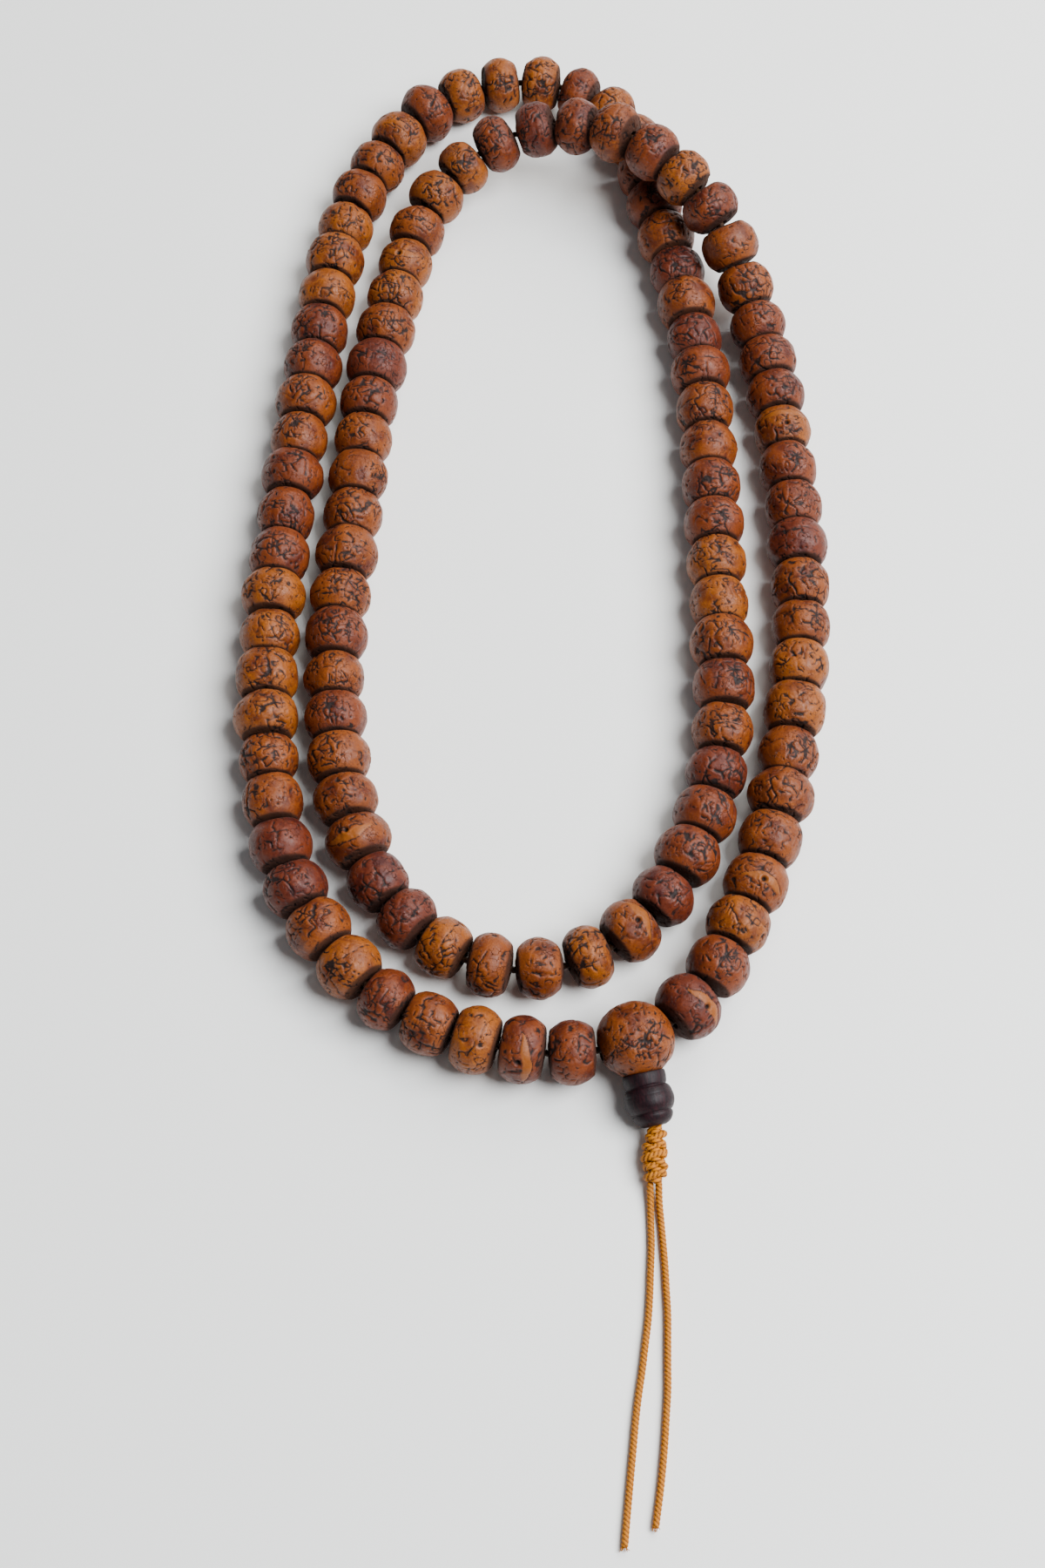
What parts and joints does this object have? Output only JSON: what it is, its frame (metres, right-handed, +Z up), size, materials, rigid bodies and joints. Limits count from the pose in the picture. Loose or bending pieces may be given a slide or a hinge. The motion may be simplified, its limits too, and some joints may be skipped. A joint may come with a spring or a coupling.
{
  "type": "mala prayer beads",
  "caption": "Strand of bodhi seed prayer beads on a thin yellow cord, laid in a doubled oval, with a larger guru bead, a turned stem bead, a snake knot and two loose cord tails.",
  "frame": {"origin": "on the surface that the beads lie on, at the middle of the box round everything but the two tail cords", "axes": "+Y runs up the length of the oval away from the guru bead and its tails, +X to the right of it, +Z up"},
  "size_m": [0.0969, 0.2618, 0.0206],
  "materials": {
    "bodhi_tan": "satin, oiled",
    "bodhi_orange": "satin, oiled",
    "bodhi_red": "satin, oiled",
    "bodhi_dark": "satin, oiled",
    "bodhi_mixed": "satin, oiled",
    "stem_wood": "satin",
    "yellow_cord": "twisted nylon with a soft sheen"
  },
  "bodies": {
    "strand": {"strand_cord": "yellow_cord", "guru_bead": "bodhi_orange", "beads_023_to_030": "bodhi_mixed", "beads_031_to_038": "bodhi_mixed", "beads_039_to_046": "bodhi_mixed", "beads_047_to_054": "bodhi_mixed", "beads_055_to_062": "bodhi_mixed", "beads_063_to_070": "bodhi_mixed", "beads_071_to_078": "bodhi_mixed", "beads_079_to_086": "bodhi_mixed"},
    "pendant": {"pendant_cord": "yellow_cord"},
    "stem": {"stem_bead": "stem_wood"},
    "knot": {"snake_knot": "yellow_cord"},
    "left_tail": {"tail_cord_left": "yellow_cord"},
    "right_tail": {"tail_cord_right": "yellow_cord"},
    "bead_001_body": {"bead_001": "bodhi_dark"},
    "bead_002_body": {"bead_002": "bodhi_red"},
    "bead_003_body": {"bead_003": "bodhi_tan"},
    "bead_004_body": {"bead_004": "bodhi_orange"},
    "bead_005_body": {"bead_005": "bodhi_orange"},
    "bead_006_body": {"bead_006": "bodhi_orange"},
    "bead_007_body": {"bead_007": "bodhi_orange"},
    "bead_008_body": {"bead_008": "bodhi_tan"},
    "bead_009_body": {"bead_009": "bodhi_tan"},
    "bead_010_body": {"bead_010": "bodhi_orange"},
    "bead_011_body": {"bead_011": "bodhi_orange"},
    "bead_012_body": {"bead_012": "bodhi_dark"},
    "bead_013_body": {"bead_013": "bodhi_red"},
    "bead_014_body": {"bead_014": "bodhi_red"},
    "bead_015_body": {"bead_015": "bodhi_tan"},
    "bead_016_body": {"bead_016": "bodhi_red"},
    "bead_017_body": {"bead_017": "bodhi_red"},
    "bead_018_body": {"bead_018": "bodhi_red"},
    "bead_019_body": {"bead_019": "bodhi_orange"},
    "bead_020_body": {"bead_020": "bodhi_orange"},
    "bead_021_body": {"bead_021": "bodhi_red"},
    "bead_022_body": {"bead_022": "bodhi_tan"},
    "bead_087_body": {"bead_087": "bodhi_red"},
    "bead_088_body": {"bead_088": "bodhi_red"},
    "bead_089_body": {"bead_089": "bodhi_orange"},
    "bead_090_body": {"bead_090": "bodhi_orange"},
    "bead_091_body": {"bead_091": "bodhi_red"},
    "bead_092_body": {"bead_092": "bodhi_red"},
    "bead_093_body": {"bead_093": "bodhi_red"},
    "bead_094_body": {"bead_094": "bodhi_tan"},
    "bead_095_body": {"bead_095": "bodhi_tan"},
    "bead_096_body": {"bead_096": "bodhi_tan"},
    "bead_097_body": {"bead_097": "bodhi_tan"},
    "bead_098_body": {"bead_098": "bodhi_orange"},
    "bead_099_body": {"bead_099": "bodhi_orange"},
    "bead_100_body": {"bead_100": "bodhi_dark"},
    "bead_101_body": {"bead_101": "bodhi_dark"},
    "bead_102_body": {"bead_102": "bodhi_orange"},
    "bead_103_body": {"bead_103": "bodhi_tan"},
    "bead_104_body": {"bead_104": "bodhi_red"},
    "bead_105_body": {"bead_105": "bodhi_orange"},
    "bead_106_body": {"bead_106": "bodhi_tan"},
    "bead_107_body": {"bead_107": "bodhi_red"},
    "bead_108_body": {"bead_108": "bodhi_red"}
  },
  "joints": [
    {"name": "stem_rock", "type": "hinge", "parent": "strand", "child": "pendant", "pos_m": [0.0146, -0.086, 0.0058], "axis": [0, 0, 1], "range_deg": [-5, 5]},
    {"name": "knot_bend", "type": "hinge", "parent": "pendant", "child": "knot", "pos_m": [0.01743, -0.09828, 0.00262], "axis": [0, 0, 1], "range_deg": [-15, 15]},
    {"name": "left_tail_bend", "type": "hinge", "parent": "knot", "child": "left_tail", "pos_m": [0.0165, -0.1064, 0.0015], "axis": [0, 0, -1], "range_deg": [0, 25]},
    {"name": "right_tail_bend", "type": "hinge", "parent": "knot", "child": "right_tail", "pos_m": [0.0178, -0.1064, 0.0015], "axis": [0, 0, 1], "range_deg": [0, 25]},
    {"name": "stem_turn", "type": "hinge", "parent": "pendant", "child": "stem", "pos_m": [0.01573, -0.09091, 0.00453], "axis": [0.2181, -0.9448, -0.2447], "continuous": true},
    {"name": "turn_bead_001", "type": "hinge", "parent": "strand", "child": "bead_001_body", "pos_m": [0.02272, -0.08052, 0.00532], "axis": [0.6845, 0.7284, -0.0293], "continuous": true},
    {"name": "turn_bead_002", "type": "hinge", "parent": "strand", "child": "bead_002_body", "pos_m": [0.02731, -0.07417, 0.00489], "axis": [0.476, 0.8794, 0], "continuous": true},
    {"name": "turn_bead_003", "type": "hinge", "parent": "strand", "child": "bead_003_body", "pos_m": [0.03073, -0.06742, 0.00504], "axis": [0.4255, 0.9049, 0], "continuous": true},
    {"name": "turn_bead_004", "type": "hinge", "parent": "strand", "child": "bead_004_body", "pos_m": [0.03371, -0.06054, 0.00503], "axis": [0.3719, 0.9283, 0], "continuous": true},
    {"name": "turn_bead_005", "type": "hinge", "parent": "strand", "child": "bead_005_body", "pos_m": [0.03633, -0.05322, 0.00506], "axis": [0.3015, 0.9535, 0], "continuous": true},
    {"name": "turn_bead_006", "type": "hinge", "parent": "strand", "child": "bead_006_body", "pos_m": [0.03834, -0.04585, 0.00521], "axis": [0.2219, 0.9751, 0], "continuous": true},
    {"name": "turn_bead_007", "type": "hinge", "parent": "strand", "child": "bead_007_body", "pos_m": [0.03991, -0.03838, 0.00477], "axis": [0.191, 0.9816, 0], "continuous": true},
    {"name": "turn_bead_008", "type": "hinge", "parent": "strand", "child": "bead_008_body", "pos_m": [0.04131, -0.03063, 0.00512], "axis": [0.1634, 0.9866, 0], "continuous": true},
    {"name": "turn_bead_009", "type": "hinge", "parent": "strand", "child": "bead_009_body", "pos_m": [0.04241, -0.02283, 0.00497], "axis": [0.1157, 0.9933, 0], "continuous": true},
    {"name": "turn_bead_010", "type": "hinge", "parent": "strand", "child": "bead_010_body", "pos_m": [0.04311, -0.0153, 0.00489], "axis": [0.068, 0.9977, 0], "continuous": true},
    {"name": "turn_bead_011", "type": "hinge", "parent": "strand", "child": "bead_011_body", "pos_m": [0.04343, -0.00767, 0.00485], "axis": [0.018, 0.9998, 0], "continuous": true},
    {"name": "turn_bead_012", "type": "hinge", "parent": "strand", "child": "bead_012_body", "pos_m": [0.04337, 0.00003, 0.00501], "axis": [-0.0349, 0.9994, 0], "continuous": true},
    {"name": "turn_bead_013", "type": "hinge", "parent": "strand", "child": "bead_013_body", "pos_m": [0.04305, 0.00758, 0.00482], "axis": [-0.0504, 0.9987, 0], "continuous": true},
    {"name": "turn_bead_014", "type": "hinge", "parent": "strand", "child": "bead_014_body", "pos_m": [0.04262, 0.01523, 0.00487], "axis": [-0.0611, 0.9981, 0], "continuous": true},
    {"name": "turn_bead_015", "type": "hinge", "parent": "strand", "child": "bead_015_body", "pos_m": [0.04205, 0.02269, 0.00486], "axis": [-0.0929, 0.9957, 0], "continuous": true},
    {"name": "turn_bead_016", "type": "hinge", "parent": "strand", "child": "bead_016_body", "pos_m": [0.04126, 0.02997, 0.00505], "axis": [-0.1226, 0.9925, 0], "continuous": true},
    {"name": "turn_bead_017", "type": "hinge", "parent": "strand", "child": "bead_017_body", "pos_m": [0.04019, 0.03715, 0.00522], "axis": [-0.1714, 0.9848, 0.0293], "continuous": true},
    {"name": "turn_bead_018", "type": "hinge", "parent": "strand", "child": "bead_018_body", "pos_m": [0.03877, 0.04423, 0.00565], "axis": [-0.2188, 0.9649, 0.1451], "continuous": true},
    {"name": "turn_bead_019", "type": "hinge", "parent": "strand", "child": "bead_019_body", "pos_m": [0.03679, 0.05132, 0.00721], "axis": [-0.304, 0.9114, 0.2773], "continuous": true},
    {"name": "turn_bead_020", "type": "hinge", "parent": "strand", "child": "bead_020_body", "pos_m": [0.03414, 0.058, 0.01017], "axis": [-0.3811, 0.8148, 0.4369], "continuous": true},
    {"name": "turn_bead_021", "type": "hinge", "parent": "strand", "child": "bead_021_body", "pos_m": [0.03066, 0.06395, 0.01307], "axis": [-0.5509, 0.769, 0.3244], "continuous": true},
    {"name": "turn_bead_022", "type": "hinge", "parent": "strand", "child": "bead_022_body", "pos_m": [0.02609, 0.06929, 0.01468], "axis": [-0.6995, 0.6927, 0.1757], "continuous": true},
    {"name": "turn_bead_087", "type": "hinge", "parent": "strand", "child": "bead_087_body", "pos_m": [-0.03748, 0.04354, 0.00502], "axis": [-0.1197, -0.9928, 0], "continuous": true},
    {"name": "turn_bead_088", "type": "hinge", "parent": "strand", "child": "bead_088_body", "pos_m": [-0.03839, 0.03597, 0.00513], "axis": [-0.1185, -0.993, 0], "continuous": true},
    {"name": "turn_bead_089", "type": "hinge", "parent": "strand", "child": "bead_089_body", "pos_m": [-0.03926, 0.02853, 0.00515], "axis": [-0.1149, -0.9934, 0], "continuous": true},
    {"name": "turn_bead_090", "type": "hinge", "parent": "strand", "child": "bead_090_body", "pos_m": [-0.0401, 0.02107, 0.00486], "axis": [-0.1082, -0.9941, 0], "continuous": true},
    {"name": "turn_bead_091", "type": "hinge", "parent": "strand", "child": "bead_091_body", "pos_m": [-0.04089, 0.01358, 0.00523], "axis": [-0.102, -0.9948, 0], "continuous": true},
    {"name": "turn_bead_092", "type": "hinge", "parent": "strand", "child": "bead_092_body", "pos_m": [-0.04168, 0.0059, 0.00482], "axis": [-0.103, -0.9947, 0], "continuous": true},
    {"name": "turn_bead_093", "type": "hinge", "parent": "strand", "child": "bead_093_body", "pos_m": [-0.04243, -0.00201, 0.00502], "axis": [-0.0855, -0.9963, 0], "continuous": true},
    {"name": "turn_bead_094", "type": "hinge", "parent": "strand", "child": "bead_094_body", "pos_m": [-0.04295, -0.00963, 0.0052], "axis": [-0.05, -0.9987, 0], "continuous": true},
    {"name": "turn_bead_095", "type": "hinge", "parent": "strand", "child": "bead_095_body", "pos_m": [-0.04323, -0.01701, 0.00485], "axis": [-0.0266, -0.9996, 0], "continuous": true},
    {"name": "turn_bead_096", "type": "hinge", "parent": "strand", "child": "bead_096_body", "pos_m": [-0.04329, -0.02457, 0.00524], "axis": [0.01, -0.9999, 0], "continuous": true},
    {"name": "turn_bead_097", "type": "hinge", "parent": "strand", "child": "bead_097_body", "pos_m": [-0.04301, -0.03207, 0.00523], "axis": [0.0663, -0.9978, 0], "continuous": true},
    {"name": "turn_bead_098", "type": "hinge", "parent": "strand", "child": "bead_098_body", "pos_m": [-0.04238, -0.03927, 0.00478], "axis": [0.1094, -0.994, 0], "continuous": true},
    {"name": "turn_bead_099", "type": "hinge", "parent": "strand", "child": "bead_099_body", "pos_m": [-0.04135, -0.04669, 0.00489], "axis": [0.1632, -0.9866, 0], "continuous": true},
    {"name": "turn_bead_100", "type": "hinge", "parent": "strand", "child": "bead_100_body", "pos_m": [-0.03969, -0.05426, 0.00499], "axis": [0.2648, -0.9643, 0], "continuous": true},
    {"name": "turn_bead_101", "type": "hinge", "parent": "strand", "child": "bead_101_body", "pos_m": [-0.03706, -0.06138, 0.00508], "axis": [0.4283, -0.9036, 0], "continuous": true},
    {"name": "turn_bead_102", "type": "hinge", "parent": "strand", "child": "bead_102_body", "pos_m": [-0.03326, -0.06801, 0.00505], "axis": [0.5596, -0.8287, 0], "continuous": true},
    {"name": "turn_bead_103", "type": "hinge", "parent": "strand", "child": "bead_103_body", "pos_m": [-0.02839, -0.07416, 0.00494], "axis": [0.6782, -0.7349, 0], "continuous": true},
    {"name": "turn_bead_104", "type": "hinge", "parent": "strand", "child": "bead_104_body", "pos_m": [-0.02272, -0.07926, 0.00477], "axis": [0.8069, -0.5907, 0], "continuous": true},
    {"name": "turn_bead_105", "type": "hinge", "parent": "strand", "child": "bead_105_body", "pos_m": [-0.01618, -0.08311, 0.00483], "axis": [0.9051, -0.4253, 0], "continuous": true},
    {"name": "turn_bead_106", "type": "hinge", "parent": "strand", "child": "bead_106_body", "pos_m": [-0.00919, -0.0858, 0.00517], "axis": [0.9591, -0.2829, 0.0034], "continuous": true},
    {"name": "turn_bead_107", "type": "hinge", "parent": "strand", "child": "bead_107_body", "pos_m": [-0.00219, -0.08732, 0.00524], "axis": [0.9897, -0.143, 0.0119], "continuous": true},
    {"name": "turn_bead_108", "type": "hinge", "parent": "strand", "child": "bead_108_body", "pos_m": [0.00508, -0.08771, 0.00512], "axis": [0.9986, 0.0362, 0.0374], "continuous": true}
  ]
}
